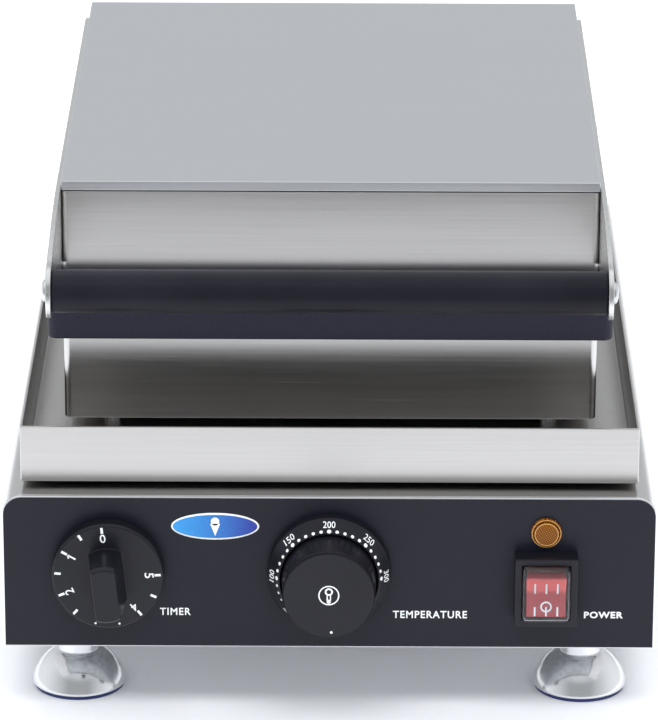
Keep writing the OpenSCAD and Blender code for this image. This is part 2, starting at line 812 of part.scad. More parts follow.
module lamp_lens() {
    color("orange") out_of_panel(switch_x, lamp_z) rotate_extrude()
        polygon([[0, -8], [4.7, -8], [4.7, 0], [6.15, 0], [6.15, 1], [5.7, 1.6], [4.9, 1.8],
            [4.6, 2.6], [0, 3]]);
}

module lamp_body() {
    color("ivory") out_of_panel(switch_x, lamp_z) difference() {
        translate([0, 0, -26]) cylinder(r = 6.5, h = 26 - panel_t);
        translate([0, 0, -18]) cylinder(r = 4.7, h = 18);
    }
}

// ---------- wiring ----------

module terminal_block() {
    color("ivory") behind() difference() {
        translate([-82, base_d - 70, base_z + 2 * sheet_t]) cube([44, 20, 16]);
        for (i = [-1, 0, 1]) bar_y(14 * i - 60, base_z + 12, 3.5, base_d - 71, base_d - 49);
    }
}

// One loom from the switch to the terminal block, and one from there to the heaters
module wiring() {
    block_z = base_z + 12;
    a = [switch_x, 32, switch_z];
    b = [-46, base_d - 66, block_z];
    c = [-60, base_d - 66, block_z];
    d = [-2, duct_d - 1, base_top];
    up = d + [0, 0, housing_z + 10 - base_top];
    color("black") behind() {
        tube(curve(a, a + [0, 60, -30], b - [0, 160, 0], b, 20), 3, [0.2, 0, 1], 8);
        tube(concat(curve(c, c - [0, 40, 0], d - [0, 0, 45], d, 18),
            [for (i = [1 : 6]) d + (up - d) * i / 6]), 2.5, [1, 0.3, 0], 8);
    }
}

// ---------- feet ----------

// Bell-shaped foot with its threaded stud, turning in the base
module foot(x, d) {
    rim_r = foot_dia / 2;
    rim_z = pad_t + 3;
    shoulder_z = pad_t + 13.6;
    color("gainsboro") behind() translate([x, d, 0]) rotate_extrude()
        polygon([[0, pad_t], [rim_r - 0.6, pad_t], [rim_r, pad_t + 0.6], [rim_r, rim_z],
            [rim_r - 0.6, rim_z + 1.8], [rim_r - 1.9, rim_z + 4], [rim_r - 4.8, shoulder_z - 2.8],
            [foot_neck_r + 2.8, shoulder_z], [foot_neck_r + 0.4, shoulder_z + 0.3],
            [foot_neck_r, shoulder_z + 0.8], [foot_neck_r, foot_top], [stud_r, foot_top],
            [stud_r, base_z + 12], [0, base_z + 12]]);
}

module pad(x, d) {
    color([0.15, 0.2, 0.5]) behind() translate([x, d, 0])
        cylinder(r = foot_dia / 2 - 0.4, h = pad_t);
}

module foot_front_left() { foot(-foot_x, foot_d[0]); }
module foot_front_right() { foot(foot_x, foot_d[0]); }
module foot_rear_left() { foot(-foot_x, foot_d[1]); }
module foot_rear_right() { foot(foot_x, foot_d[1]); }
module pad_front_left() { pad(-foot_x, foot_d[0]); }
module pad_front_right() { pad(foot_x, foot_d[0]); }
module pad_rear_left() { pad(-foot_x, foot_d[1]); }
module pad_rear_right() { pad(foot_x, foot_d[1]); }

body_shell();
front_panel();
back_panel();
bottom_plate();
case_screws();
cable_gland();
terminal_block();
wiring();
drip_tray();
lower_housing();
housing_legs();
leg_bolts();
wire_duct();
housing_screws();
lower_plate();
lower_element();
lower_clamp();
lower_insulation();
upper_plate();
upper_element();
upper_clamp();
upper_insulation();
lid_box();
lid_cover();
lid_screws();
left_arm();
right_arm();
handle_grip();
handle_rod();
handle_screws();
hinge_brackets();
hinge_shaft();
hinge_bushes();
shaft_clips();
lid_stop_rod();
lid_gland();
base_gland();
conduit();
timer_knob();
timer_shaft();
timer_movement();
dial_ring();
thermostat_knob();
thermostat_shaft();
thermostat_body();
thermostat_bulb();
switch_bezel();
switch_body();
switch_rocker();
switch_cap();
lamp_lens();
lamp_body();
foot_front_left();
foot_front_right();
foot_rear_left();
foot_rear_right();
pad_front_left();
pad_front_right();
pad_rear_left();
pad_rear_right();
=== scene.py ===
"""Looks of a counter-top waffle cone maker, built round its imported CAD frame.

Metres, +Z up, the control panel faces -Y, and the origin is on the table under the middle.
"""
import json
import math

import bmesh
import bpy
from mathutils import Matrix, Vector


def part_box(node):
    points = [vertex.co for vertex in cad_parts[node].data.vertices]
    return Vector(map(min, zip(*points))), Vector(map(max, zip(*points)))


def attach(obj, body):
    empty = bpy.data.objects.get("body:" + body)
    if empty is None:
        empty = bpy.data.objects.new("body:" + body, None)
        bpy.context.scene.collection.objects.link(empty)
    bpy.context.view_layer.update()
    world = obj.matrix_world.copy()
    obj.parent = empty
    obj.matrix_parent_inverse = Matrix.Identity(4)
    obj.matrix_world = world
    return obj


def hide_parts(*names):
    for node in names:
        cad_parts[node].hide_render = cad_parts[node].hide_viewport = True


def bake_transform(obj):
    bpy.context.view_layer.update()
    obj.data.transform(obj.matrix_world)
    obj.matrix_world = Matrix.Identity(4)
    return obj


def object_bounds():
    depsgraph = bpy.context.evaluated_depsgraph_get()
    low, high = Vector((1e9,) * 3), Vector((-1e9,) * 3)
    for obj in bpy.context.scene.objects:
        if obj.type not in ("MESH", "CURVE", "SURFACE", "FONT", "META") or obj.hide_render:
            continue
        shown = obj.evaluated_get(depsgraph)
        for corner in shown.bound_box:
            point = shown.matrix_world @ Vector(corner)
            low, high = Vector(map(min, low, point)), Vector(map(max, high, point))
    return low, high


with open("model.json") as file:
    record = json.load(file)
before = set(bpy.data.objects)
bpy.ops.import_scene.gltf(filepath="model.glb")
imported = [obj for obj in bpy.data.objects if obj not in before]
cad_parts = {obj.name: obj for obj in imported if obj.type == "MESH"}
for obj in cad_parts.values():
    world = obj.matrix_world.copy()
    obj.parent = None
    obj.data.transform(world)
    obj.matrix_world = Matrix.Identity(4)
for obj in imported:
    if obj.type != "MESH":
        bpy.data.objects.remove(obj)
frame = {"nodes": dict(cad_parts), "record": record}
CAD_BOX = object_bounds()

MM = 0.001
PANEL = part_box("front_panel")
PANEL_Y = PANEL[0].y
PANEL_Z = (PANEL[0].z, PANEL[1].z)
MIDDLE = (CAD_BOX[0] + CAD_BOX[1]) / 2
PRINT = 0.06 * MM                # how thick printed marks lie on a surface
WELD = 1e-6                      # points closer than this are one point
CREASE = 32                      # degrees; sharper edges than this aren't shaded smooth


# ---------- materials ----------

class Shader:
    """A material with one Principled shader, driven by patterns in the object's own space."""

    def __init__(self, name, colour, metallic=0.0, roughness=0.5, **inputs):
        self.material = bpy.data.materials.new(name)
        self.material.use_nodes = True
        self.tree = self.material.node_tree
        self.bsdf = self.tree.nodes["Principled BSDF"]
        self.colour = colour
        self.normal = None
        self.bsdf.inputs["Base Color"].default_value = (*colour, 1)
        self.bsdf.inputs["Metallic"].default_value = metallic
        self.bsdf.inputs["Roughness"].default_value = roughness
        self.set(self.bsdf, inputs)

    def set(self, node, inputs):
        for key, value in inputs.items():
            node.inputs[key.replace("_", " ")].default_value = value

    def node(self, kind, **inputs):
        made = self.tree.nodes.new(kind)
        self.set(made, inputs)
        return made

    def join(self, output, target):
        self.tree.links.new(output, target)

    def coordinates(self, scale, turn=(0, 0, 0)):
        where = self.node("ShaderNodeTexCoord")
        mapping = self.node("ShaderNodeMapping", Scale=scale, Rotation=turn)
        self.join(where.outputs["Object"], mapping.inputs["Vector"])
        return mapping.outputs["Vector"]

    def axis(self, name):
        where = self.node("ShaderNodeTexCoord")
        split = self.node("ShaderNodeSeparateXYZ")
        self.join(where.outputs["Object"], split.inputs["Vector"])
        return split.outputs[name]

    def noise(self, scale, detail=2.0, distortion=0.0):
        made = self.node("ShaderNodeTexNoise", Scale=1.0, Detail=detail, Distortion=distortion)
        self.join(self.coordinates(scale), made.inputs["Vector"])
        return made.outputs["Fac"]

    def cells(self, scale):
        made = self.node("ShaderNodeTexVoronoi", Scale=1.0)
        self.join(self.coordinates(scale), made.inputs["Vector"])
        return made

    def waves(self, scale, turn=(0, 0, 0)):
        made = self.node("ShaderNodeTexWave", Scale=1.0)
        self.join(self.coordinates(scale, turn), made.inputs["Vector"])
        return made.outputs["Fac"]

    def spread(self, pattern, low, high, start=0.3, end=0.7):
        made = self.node("ShaderNodeMapRange", From_Min=start, From_Max=end, To_Min=low, To_Max=high)
        self.join(pattern, made.inputs["Value"])
        return made.outputs["Result"]

    def mix(self, factor, first, second):
        """Blends two colours, each a tuple or another node's output, by factor."""
        made = self.node("ShaderNodeMix")
        made.data_type = "RGBA"
        sockets = [s for s in made.inputs if s.type == "RGBA"]
        for socket, colour in zip(sockets, (first, second)):
            if isinstance(colour, tuple):
                socket.default_value = (*colour, 1)
            else:
                self.join(colour, socket)
        self.join(factor, made.inputs["Factor"])
        return next(s for s in made.outputs if s.type == "RGBA")

    def tint(self, pattern, low, high):
        """Varies the base colour from low to high times its value."""
        dark = tuple(c * low for c in self.colour)
        light = tuple(min(1.0, c * high) for c in self.colour)
        factor = self.spread(pattern, 0, 1)
        self.join(self.mix(factor, dark, light), self.bsdf.inputs["Base Color"])

    def paint(self, colour_output):
        self.join(colour_output, self.bsdf.inputs["Base Color"])

    def rough(self, pattern, low, high):
        self.join(self.spread(pattern, low, high), self.bsdf.inputs["Roughness"])

    def bump(self, pattern, strength, distance):
        made = self.node("ShaderNodeBump", Strength=strength, Distance=distance)
        self.join(pattern, made.inputs["Height"])
        if self.normal is not None:
            self.join(self.normal, made.inputs["Normal"])
        self.normal = made.outputs["Normal"]
        self.join(self.normal, self.bsdf.inputs["Normal"])


GRAIN = {"x": (14, 1100, 1100), "y": (1100, 14, 1100), "z": (1100, 1100, 14)}


def brushed(name, colour, rough, axis="x", contrast=0.06):
    """Stainless sheet: fine lines along one axis, faint clouds from rolling and wiping."""
    made = Shader(name, colour, metallic=1.0)
    lines = made.noise(GRAIN[axis], detail=3)
    clouds = made.noise((9, 9, 9), detail=3)
    streaks = made.mix(clouds, (0.35, 0.35, 0.35), (0.65, 0.65, 0.65))
    both = made.node("ShaderNodeMath")
    both.operation = "MULTIPLY_ADD"
    both.inputs[1].default_value = 0.7
    made.join(lines, both.inputs[0])
    made.join(made.spread(streaks, 0, 0.3, 0, 1), both.inputs[2])
    made.tint(both.outputs[0], 1 - contrast, 1 + contrast)
    made.rough(both.outputs[0], rough - 0.03, rough + 0.05)
    made.bump(lines, 0.1, 0.02 * MM)
    return made.material


def mottled(name, colour, metallic, low, high, scale, contrast=0.08, depth=0.02, **inputs):
    """A cast, moulded or plated surface: fine mottle in its colour, gloss and relief."""
    made = Shader(name, colour, metallic=metallic, **inputs)
    fine = made.noise((scale, scale, scale), detail=4)
    broad = made.noise((scale / 30, scale / 30, scale / 30), detail=2)
    made.tint(broad, 1 - contrast, 1 + contrast)
    made.rough(fine, low, high)
    made.bump(fine, 0.3, depth * MM)
    return made.material


def galvanised_sheet():
    made = Shader("zinc_sheet", (0.55, 0.56, 0.57), metallic=1.0)
    flakes = made.cells((140, 140, 140)).outputs["Distance"]
    made.tint(flakes, 0.82, 1.1)
    made.rough(flakes, 0.38, 0.55)
    return made.material


def woven_steel():
    """Braided sleeve: two sets of strands that cross."""
    made = Shader("steel_braid", (0.5, 0.5, 0.51), metallic=1.0, roughness=0.35)
    first = made.waves((260, 260, 260), (0.0, 0.8, 0.6))
    second = made.waves((260, 260, 260), (0.0, -0.8, -0.6))
    both = made.node("ShaderNodeMath")
    both.operation = "MAXIMUM"
    made.join(first, both.inputs[0])
    made.join(second, both.inputs[1])
    made.tint(both.outputs[0], 0.45, 1.1)
    made.bump(both.outputs[0], 0.6, 0.2 * MM)
    return made.material


def oxidised_sheath():
    """Heater tube that has gone straw and blue with heat."""
    made = Shader("heater_tube", (0.22, 0.2, 0.18), metallic=1.0)
    heat = made.noise((40, 40, 40), detail=3)
    made.paint(made.mix(made.spread(heat, 0, 1), (0.12, 0.12, 0.16), (0.3, 0.23, 0.15)))
    made.rough(heat, 0.4, 0.6)
    return made.material


def wool():
    made = Shader("wool_blanket", (0.8, 0.78, 0.7), roughness=0.95)
    fibres = made.noise((900, 120, 900), detail=5, distortion=1.5)
    made.tint(fibres, 0.75, 1.08)
    made.bump(fibres, 0.8, 0.4 * MM)
    return made.material


def clear_plastic():
    made = Shader("clear_cover", (0.96, 0.97, 0.99), Transmission_Weight=0.985, IOR=1.27)
    haze = made.noise((260, 260, 260), detail=2)
    made.rough(haze, 0.02, 0.08)
    made.bump(made.noise((120, 60, 180), detail=1), 0.25, 0.25 * MM)
    return made.material


def red_plastic():
    """Red plastic whose upper half is painted lighter and more orange, painted light standing for its lamp
    shining behind that half, and whose top edge is painted darker, painted shade under the bezel.
    """
    made = Shader("red_rocker_plastic", (0.36, 0.012, 0.018), Coat_Weight=0.2, Coat_Roughness=0.1)
    low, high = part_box("switch_rocker")
    middle, top = (low.z + high.z) / 2, high.z
    height = made.axis("Z")
    # Painted light: a lighter, more orange band over the upper half, and painted shade along the top edge
    painted_glow_band = made.spread(height, 0, 1, middle + 1.2 * MM, middle + 3 * MM)
    painted_shade_top = made.spread(height, 0, 1, top - 1.6 * MM, top - 0.6 * MM)
    lit = made.mix(painted_glow_band, made.colour, (0.75, 0.085, 0.08))
    made.paint(made.mix(painted_shade_top, lit, (0.26, 0.007, 0.01)))
    made.rough(made.noise((90, 90, 90)), 0.14, 0.24)
    return made.material


def amber_plastic():
    """Amber lens with a fine cross-hatch in it: the hatch is the lens's moulded relief, and its darker lines
    and lighter cells are painted shade and painted highlight.
    """
    made = Shader("amber_lens_plastic", (0.3, 0.1, 0.002), Specular_IOR_Level=0.25)
    both = made.node("ShaderNodeMath")
    both.operation = "MULTIPLY"
    for turn, socket in zip((0.5, -1.07), both.inputs):
        made.join(made.waves((390, 390, 390), (0, turn, 0)), socket)
    # The hatch's dark lines are painted shade and its light cells painted highlight
    made.paint(made.mix(both.outputs[0], (0.1, 0.028, 0.001), (0.46, 0.17, 0.007)))
    made.rough(made.noise((150, 150, 150)), 0.12, 0.2)
    return made.material


def satin_black():
    """Powder-coated panel: near-black with a violet cast and a fine orange-peel skin."""
    made = Shader("panel_coating", (0.0086, 0.0086, 0.01634), Specular_IOR_Level=0.28)
    peel = made.noise((700, 700, 700), detail=3)
    clouds = made.noise((7, 7, 7), detail=2)
    made.tint(clouds, 0.9, 1.1)
    made.rough(peel, 0.36, 0.46)
    made.bump(peel, 0.12, 0.03 * MM)
    return made.material


def nonstick_cast():
    """Cast plate: fine grit under a matt black coating."""
    made = Shader("nonstick_coating", (0.015, 0.015, 0.028), Specular_IOR_Level=0.3)
    grit = made.noise((1500, 1500, 1500), detail=4)
    made.tint(grit, 0.6, 1.5)
    made.rough(grit, 0.45, 0.62)
    made.bump(grit, 0.5, 0.06 * MM)
    return made.material


def badge_enamel():
    """Blue enamel that darkens across the badge."""
    made = Shader("badge_enamel", (0.05, 0.2, 0.6), Specular_IOR_Level=0.3)
    low, high = badge_span()
    across = made.spread(made.axis("X"), 0, 1, low, high)
    mottle = made.noise((200, 200, 200))
    made.paint(made.mix(across, (0.04, 0.33, 0.75), (0.025, 0.025, 0.3)))
    made.rough(mottle, 0.2, 0.3)
    return made.material


def print_ink():
    made = Shader("white_print", (0.85, 0.87, 0.88), roughness=0.5)
    made.tint(made.noise((2500, 2500, 2500), detail=2), 0.92, 1.05)
    return made.material


def pale_floor():
    """White table with a faint painted glow, painted darker well in front of the object: painted shade
    standing for light falling off there, which the steel's front faces mirror.
    """
    made = Shader("studio_floor", (0.82, 0.83, 0.86), Emission_Color=(0.93, 0.95, 1.0, 1))
    dark_from, pale_from = -0.72, -0.37
    # Painted shade: the floor darkens towards the front, and its emission, a painted glow, fades with it
    lit = made.spread(made.axis("Y"), 0, 1, dark_from, pale_from)
    made.paint(made.mix(lit, (0.25, 0.255, 0.265), made.colour))
    made.join(made.spread(lit, 0.03, 0.1, 0, 1), made.bsdf.inputs["Emission Strength"])
    made.rough(made.noise((30, 30, 30), detail=4), 0.75, 0.9)
    return made.material


def badge_span():
    """Where the badge begins and ends across the panel."""
    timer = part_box("timer_knob")
    start = timer[1].x + 2.7 * MM
    return start, start + 35 * MM


def slot_materials():
    """One material for each slot of the record."""
    return {
        "brushed_stainless": brushed("stainless_brushed", (0.635, 0.62, 0.605), 0.3),
        "satin_stainless": brushed("stainless_satin", (0.66, 0.67, 0.69), 0.38, contrast=0.015),
        "galvanised": galvanised_sheet(),
        "black_panel": satin_black(),
        "coated_cast": nonstick_cast(),
        "bright_steel": mottled("zinc_plate", (0.66, 0.66, 0.67), 1.0, 0.2, 0.34, 900),
        "plated_brass": mottled("dull_brass", (0.6, 0.44, 0.2), 1.0, 0.25, 0.42, 700),
        "braided_steel": woven_steel(),
        "heater_sheath": oxidised_sheath(),
        "ceramic_wool": wool(),
        "black_plastic": mottled("phenolic", (0.0075, 0.0075, 0.0118), 0.0, 0.3, 0.4, 1200,
                                 contrast=0.15, Specular_IOR_Level=0.32),
        "black_grip": mottled("phenolic_grip", (0.0115, 0.0115, 0.0175), 0.0, 0.34, 0.46, 900,
                              contrast=0.2, depth=0.02, Specular_IOR_Level=0.05, Coat_Weight=0.8,
                              Coat_IOR=1.2, Coat_Roughness=0.12),
        "red_rocker": red_plastic(),
        "clear_cap": clear_plastic(),
        "amber_lens": amber_plastic(),
        "ivory_plastic": mottled("nylon", (0.74, 0.7, 0.58), 0.0, 0.4, 0.55, 600),
        "porcelain": mottled("steatite", (0.78, 0.76, 0.7), 0.0, 0.55, 0.75, 900, depth=0.05),
        "wire_jacket": mottled("glass_sleeve", (0.04, 0.04, 0.04), 0.0, 0.6, 0.85, 1500, contrast=0.3,
                               depth=0.2),
        "foot_chrome": mottled("chrome_plate", (0.82, 0.83, 0.85), 1.0, 0.12, 0.2, 250, contrast=0.03,
                               depth=0.004),
        "blue_rubber": mottled("blue_pad", (0.01, 0.02, 0.12), 0.0, 0.45, 0.65, 900),
    }


SLOTS = slot_materials()
SIDE_STEEL = brushed("stainless_lengthwise", (0.7, 0.7, 0.69), 0.27, axis="y")
SMOOTH_STEEL = brushed("stainless_drawn", (0.64, 0.63, 0.62), 0.23)
# Lighter amber for the lamp's thin rings: a painted highlight of the glints on the lens's rims
AMBER_PAINTED_GLINT = mottled("amber_painted_glint", (0.52, 0.25, 0.05), 0.0, 0.08, 0.16, 300, Coat_Weight=0.5)
INK = print_ink()


# ---------- mesh tools ----------

def link(name, mesh, material):
    made = bpy.data.objects.new(name, mesh)
    mesh.materials.clear()
    mesh.materials.append(material)
    bpy.context.scene.collection.objects.link(made)
    return made


def finish_mesh(name, bm, crease=CREASE):
    """Turns bm into a mesh with outward normals, smooth but for edges sharper than crease degrees."""
    bmesh.ops.recalc_face_normals(bm, faces=bm.faces)
    for face in bm.faces:
        face.smooth = True
    for edge in bm.edges:
        edge.smooth = len(edge.link_faces) == 2 and edge.calc_face_angle(0) < math.radians(crease)
    mesh = bpy.data.meshes.new(name)
    bm.to_mesh(mesh)
    bm.free()
    return mesh


def add_piece(name, bm, slot, body, nodes=(), material=None, crease=CREASE):
    """A new piece that rides on a body, takes its finish from a slot and may stand for CAD nodes."""
    made = link(name, finish_mesh(name, bm, crease), material or SLOTS[slot])
    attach(made, body)
    if nodes:
        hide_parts(*nodes)
    return made


def even(piece):
    """Keeps a piece's broad flat faces flat where they meet short bends."""
    piece.modifiers.new("even_shading", "WEIGHTED_NORMAL").keep_sharp = True


def plain_copy(node):
    """The CAD node's shape as a bmesh, its flat faces whole again."""
    source = frame["nodes"][node].data
    mesh = bpy.data.meshes.new("plain")
    mesh.from_pydata([v.co for v in source.vertices], [], [list(p.vertices) for p in source.polygons])
    bm = bmesh.new()
    bm.from_mesh(mesh)
    bpy.data.meshes.remove(mesh)
    bmesh.ops.remove_doubles(bm, verts=bm.verts, dist=WELD)
    bmesh.ops.dissolve_limit(bm, angle_limit=math.radians(0.5), verts=bm.verts, edges=bm.edges)
    return bm


def body_of(node):
    return next(b for b, members in frame["record"]["behaviour"]["bodies"].items() if node in members)


def slot_of(node):
    return next(s["material_slot"] for s in frame["record"]["subparts"] if s["node"] == node)


def refine(node, width, material=None):
    """Stands for a CAD node with the same shape and softened edges."""
    made = add_piece(node + "_finished", plain_copy(node), slot_of(node), body_of(node), (node,), material)
    edges = made.modifiers.new("soft_edges", "BEVEL")
    edges.width = width
    edges.segments = 3
    edges.limit_method = "ANGLE"
    edges.angle_limit = math.radians(CREASE)
    edges.use_clamp_overlap = False
    edges.loop_slide = False
    edges.harden_normals = True
    for face in made.data.polygons:
        face.use_smooth = True
    made.data.attributes.remove(made.data.attributes["sharp_edge"])
    return made


def lathe(bm, profile, place, steps=64, closed=False):
    """Turns a profile of (radius, height) about place's Z axis."""
    angles = [2 * math.pi * k / steps for k in range(steps)]
    rings = []
    for radius, height in profile:
        if radius < 1e-7:
            rings.append([bm.verts.new(place @ Vector((0, 0, height)))])
        else:
            rings.append([bm.verts.new(place @ Vector((radius * math.cos(t), radius * math.sin(t), height)))
                          for t in angles])
    pairs = list(zip(rings, rings[1:])) + ([(rings[-1], rings[0])] if closed else [])
    for a, b in pairs:
        for k in range(steps):
            corners = [a[k % len(a)], a[(k + 1) % len(a)], b[(k + 1) % len(b)], b[k % len(b)]]
            corners = list(dict.fromkeys(corners))
            if len(corners) > 2:
                bm.faces.new(corners)


def rounded(points, radius, steps=4):
    """The polyline with every inner corner turned into a short curve."""
    out = [Vector(points[0])]
    for before, corner, after in zip(points, points[1:], points[2:]):
        c = Vector(corner)
        a, b = Vector(before) - c, Vector(after) - c
        start = c + a.normalized() * min(radius, a.length * 0.45)
        end = c + b.normalized() * min(radius, b.length * 0.45)
        for k in range(steps + 1):
            t = k / steps
            out.append(start * (1 - t) ** 2 + c * 2 * t * (1 - t) + end * t * t)
    out.append(Vector(points[-1]))
    return [tuple(p) for p in out]


def loft(bm, loops, cap_start=False, cap_end=False):
    """Joins closed loops that have the same number of points."""
    rows = [[bm.verts.new(p) for p in loop] for loop in loops]
    count = len(rows[0])
    for a, b in zip(rows, rows[1:]):
        for k in range(count):
            bm.faces.new([a[k], a[(k + 1) % count], b[(k + 1) % count], b[k]])
    if cap_start:
        bm.faces.new(rows[0])
    if cap_end:
        bm.faces.new(rows[-1])


def slab(bm, place, width, height, depth):
    """A flat block whose back lies on place's XY plane."""
    block = Matrix.Translation((0, 0, depth / 2)) @ Matrix.Diagonal((width, height, depth, 1))
    bmesh.ops.create_cube(bm, size=1, matrix=place @ block)


def disc(bm, place, radius, depth):
    lathe(bm, [(0, 0), (radius, 0), (radius, depth), (0, depth)], place, 24)


def hoop(bm, place, outer, inner, depth, steps=48):
    lathe(bm, [(inner, 0), (outer, 0), (outer, depth), (inner, depth)], place, steps, closed=True)


def write(bm, words, place, width, height, depth, bold=0.0, spacing=1.0):
    """Letters that fill width by height about place's origin, standing depth out of its XY plane."""
    curve = bpy.data.curves.new("words", "FONT")
    curve.body = words
    curve.extrude = 0.1
    curve.offset = bold
    curve.space_character = spacing
    curve.resolution_u = 3
    holder = bpy.data.objects.new("words", curve)
    bpy.context.scene.collection.objects.link(holder)
    bpy.context.view_layer.update()
    mesh = bpy.data.meshes.new_from_object(holder.evaluated_get(bpy.context.evaluated_depsgraph_get()))
    bpy.data.objects.remove(holder)
    bpy.data.curves.remove(curve)
    low = Vector([min(v.co[i] for v in mesh.vertices) for i in range(3)])
    high = Vector([max(v.co[i] for v in mesh.vertices) for i in range(3)])
    size = high - low
    fit = Matrix.Diagonal((width / size.x, height / size.y, depth / size.z, 1))
    centre = Matrix.Translation((-(low.x + high.x) / 2, -(low.y + high.y) / 2, -low.z))
    mesh.transform(place @ fit @ centre)
    bm.from_mesh(mesh)
    bpy.data.meshes.remove(mesh)


def carve(bm, cutter):
    """bm less cutter, both closed shapes."""
    # The solver loses shapes as small as a screw, so it cuts them at a thousand times their size
    for shape in (bm, cutter):
        shape.transform(Matrix.Scale(1 / MM, 4))
    solids = [link("carve", finish_mesh("carve", b), INK) for b in (bm, cutter)]
    cut = solids[0].modifiers.new("cut", "BOOLEAN")
    cut.object = solids[1]
    cut.solver = "EXACT"
    bpy.context.view_layer.update()
    mesh = bpy.data.meshes.new_from_object(solids[0].evaluated_get(bpy.context.evaluated_depsgraph_get()))
    for solid in solids:
        bpy.data.objects.remove(solid)
    out = bmesh.new()
    out.from_mesh(mesh)
    out.transform(Matrix.Scale(MM, 4))
    bpy.data.meshes.remove(mesh)
    return out


def islands(node):
    """The box of each separate solid of a CAD node."""
    bm = plain_copy(node)
    left, boxes = set(bm.verts), []
    while left:
        reached, todo = set(), [left.pop()]
        while todo:
            v = todo.pop()
            reached.add(v)
            new = {e.other_vert(v) for e in v.link_edges} & left
            left -= new
            todo.extend(new)
        boxes.append((Vector([min(v.co[i] for v in reached) for i in range(3)]),
                      Vector([max(v.co[i] for v in reached) for i in range(3)])))
    bm.free()
    return sorted(boxes, key=lambda b: tuple(b[0]))


def middle_of(node):
    low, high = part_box(node)
    return (low + high) / 2


def facing(direction, origin):
    """A placement at origin whose Z axis points along direction, and whose Y axis is up where it can be."""
    z = Vector(direction).normalized()
    side = Vector((0, 0, 1)).cross(z)
    x = side.normalized() if side.length > 1e-6 else Vector((1, 0, 0))
    y = z.cross(x)
    turn = Matrix((x, y, z)).transposed().to_4x4()
    return Matrix.Translation(origin) @ turn


def on_panel(x, z, out=0.0):
    """A placement on the panel, out metres in front of it, with Z towards the user."""
    return facing((0, -1, 0), (x, PANEL_Y - out, z))


def turned(degrees):
    """A clockwise turn as the user sees it, on a placement that faces the user."""
    return Matrix.Rotation(math.radians(-degrees), 4, "Z")


# ---------- sheet metal, plates and handle ----------

def sheet_metal():
    for node, width in (("back_panel", 0.3), ("bottom_plate", 0.2),
                        ("lid_box", 0.25), ("lid_cover", 0.55)):
        refine(node, width * MM)
    refine("body_shell", 0.35 * MM, SMOOTH_STEEL)
    refine("lower_housing", 0.6 * MM, SMOOTH_STEEL)
    front_panel()
    tray()
    for node in ("left_arm", "right_arm", "hinge_brackets"):
        refine(node, 0.35 * MM, SIDE_STEEL)


def front_panel():
    """The coating covers the panel's face, and its rounded edges are bare steel."""
    made = refine("front_panel", 0.5 * MM)
    made.data.materials.append(SLOTS["foot_chrome"])
    for face in made.data.polygons:
        face.material_index = 0 if abs(face.normal.y) > 0.5 else 1
    edges = made.modifiers["soft_edges"]
    edges.material = 1
    edges.harden_normals = False
    even(made)


def tray():
    """Folded tray: rounded along the bottom, a thin bright rim, and pressed pads under its floor."""
    low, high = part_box("drip_tray")
    pad_h, thick = 1.5 * MM, 1.2 * MM
    width, depth = high.x - low.x, high.y - low.y
    under, top = low.z + pad_h, high.z
    centre = (low + high) / 2
    steps = [(0.9 - 0.9 * math.sin(t), 0.9 - 0.9 * math.cos(t)) for t in
             [math.radians(a) for a in (0, 18, 36, 54, 72, 90)]]
    levels = [(inset * MM, under + up * MM) for inset, up in steps]
    levels += [(0, top - 0.3 * MM), (0.1 * MM, top - 0.1 * MM), (0.3 * MM, top), (thick - 0.3 * MM, top),
               (thick - 0.1 * MM, top - 0.1 * MM), (thick, top - 0.3 * MM), (thick, under + 1.8 * MM),
               (thick + 0.3 * MM, under + 1.2 * MM), (thick + 0.9 * MM, under + 1 * MM)]
    loops = []
    for inset, z in levels:
        shape = outline(width - 2 * inset, depth - 2 * inset, 0.5 * MM, 3)
        loops.append([(centre.x + px, centre.y + py, z) for px, py in shape])
    bm = bmesh.new()
    loft(bm, loops, cap_start=True, cap_end=True)
    for low_leg, high_leg in islands("housing_legs"):
        foot_x, foot_y = (low_leg.x + high_leg.x) / 2, (low_leg.y + high_leg.y) / 2
        pad = [(0, 0), (8 * MM, 0), (9 * MM, pad_h * 0.6), (9 * MM, pad_h + 0.2 * MM),
               (0, pad_h + 0.2 * MM)]
        lathe(bm, pad, Matrix.Translation((foot_x, foot_y, low.z)), 32)
    even(add_piece("folded_tray", bm, "brushed_stainless", body_of("drip_tray"), ("drip_tray",), crease=35))


def waffle_grid(node, side):
    """Blunt pyramids that fill a plate's round recess; side is 1 where the recess opens upwards."""
    low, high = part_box(node)
    centre = (low + high) / 2
    recess_r, pitch, land = 104 * MM, 7.2 * MM, 1.9 * MM
    floor_z = (high.z if side > 0 else low.z) - side * 1.0 * MM
    rise = 0.85 * MM
    bm = bmesh.new()
    reach = int(recess_r / pitch) + 1
    for i in range(-reach, reach + 1):
        for j in range(-reach, reach + 1):
            # The grid lies across the plate's corners, so its grooves run at 45 degrees
            x, y = (i - j) * pitch / math.sqrt(2), (i + j) * pitch / math.sqrt(2)
            if math.hypot(x, y) > recess_r - pitch * 0.75:
                continue
            base = pitch / math.sqrt(2) - 0.5 * MM
            top = base - land
            rings = ((base, floor_z - side * 0.05 * MM), (base - 0.2 * MM, floor_z + side * 0.1 * MM),
                     (top, floor_z + side * rise))
            loops = [[(centre.x + x + r * c, centre.y + y + r * s, z)
                      for c, s in ((1, 0), (0, 1), (-1, 0), (0, -1))] for r, z in rings]
            loft(bm, loops, cap_start=True, cap_end=True)
    return add_piece(node + "_pattern", bm, "coated_cast", body_of(node), crease=20)


def baking_plates():
    for node, side in (("lower_plate", 1), ("upper_plate", -1)):
        refine(node, 0.9 * MM)
        waffle_grid(node, side)


